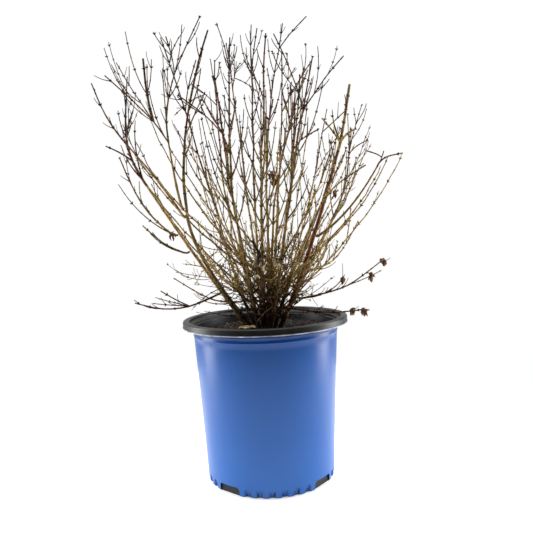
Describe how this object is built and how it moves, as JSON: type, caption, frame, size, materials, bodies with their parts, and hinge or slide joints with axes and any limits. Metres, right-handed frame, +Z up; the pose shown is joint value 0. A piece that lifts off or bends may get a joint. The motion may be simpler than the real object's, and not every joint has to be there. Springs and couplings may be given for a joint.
{
  "type": "potted snowberry",
  "caption": "Bare flowering shrub with thin upright canes and fine opposite twigs, growing in a blue round nursery pot with a black rolled lip.",
  "frame": {"origin": "centre of the pot's flat underside, on the surface that it stands on", "axes": "+Z up along the pot's axis, -Y towards the front of the plant as pictured, +X to its right"},
  "size_m": [0.4107, 0.3655, 0.6645],
  "materials": {
    "black_plastic": "moulded polyethylene, satin, slightly dusty",
    "blue_plastic": "moulded polyethylene skin, satin",
    "potting_mix": "loose bark and peat mix with white grains",
    "bark": "thin tan to red-brown bark with nodes",
    "twigs": "fine red-brown to nearly black twigs"
  },
  "bodies": {
    "root": {"bough_left_forked": "bark", "bough_left_long": "bark", "bough_right_outer": "bark", "cane_back_inner": "bark", "cane_back_left": "bark", "cane_back_middle": "bark", "cane_back_right": "bark", "cane_front_far_right": "bark", "cane_front_left": "bark", "cane_front_middle": "bark", "cane_front_right": "bark", "cane_left_back": "bark", "cane_left_main": "bark", "cane_left_outer": "bark", "cane_left_upright": "bark", "cane_middle_back": "bark", "cane_middle_upright": "bark", "cane_right_back": "bark", "cane_right_of_middle": "bark", "cane_right_red": "bark", "cane_right_upright": "bark", "pot": "black_plastic", "pot_sleeve": "blue_plastic", "soil": "potting_mix", "twigs_back_inner": "twigs", "twigs_back_left": "twigs", "twigs_back_middle": "twigs", "twigs_back_right": "twigs", "twigs_front_far_right": "twigs", "twigs_front_left": "twigs", "twigs_front_middle": "twigs", "twigs_front_right": "twigs", "twigs_left_back": "twigs", "twigs_left_forked": "twigs", "twigs_left_long": "twigs", "twigs_left_main": "twigs", "twigs_left_outer": "twigs", "twigs_left_side_high": "twigs", "twigs_left_side_low": "twigs", "twigs_left_upright": "twigs", "twigs_low_back_left": "twigs", "twigs_low_back_right": "twigs", "twigs_low_front_left": "twigs", "twigs_low_front_right": "twigs", "twigs_low_left": "twigs", "twigs_low_left_back": "twigs", "twigs_low_right": "twigs", "twigs_low_right_front": "twigs", "twigs_middle_back": "twigs", "twigs_middle_upright": "twigs", "twigs_right_back": "twigs", "twigs_right_middle": "twigs", "twigs_right_of_middle": "twigs", "twigs_right_outer": "twigs", "twigs_right_red": "twigs", "twigs_right_upright": "twigs", "twigs_tangle_front": "twigs", "twigs_tangle_left": "twigs", "twigs_tangle_right": "twigs"}
  },
  "joints": []
}
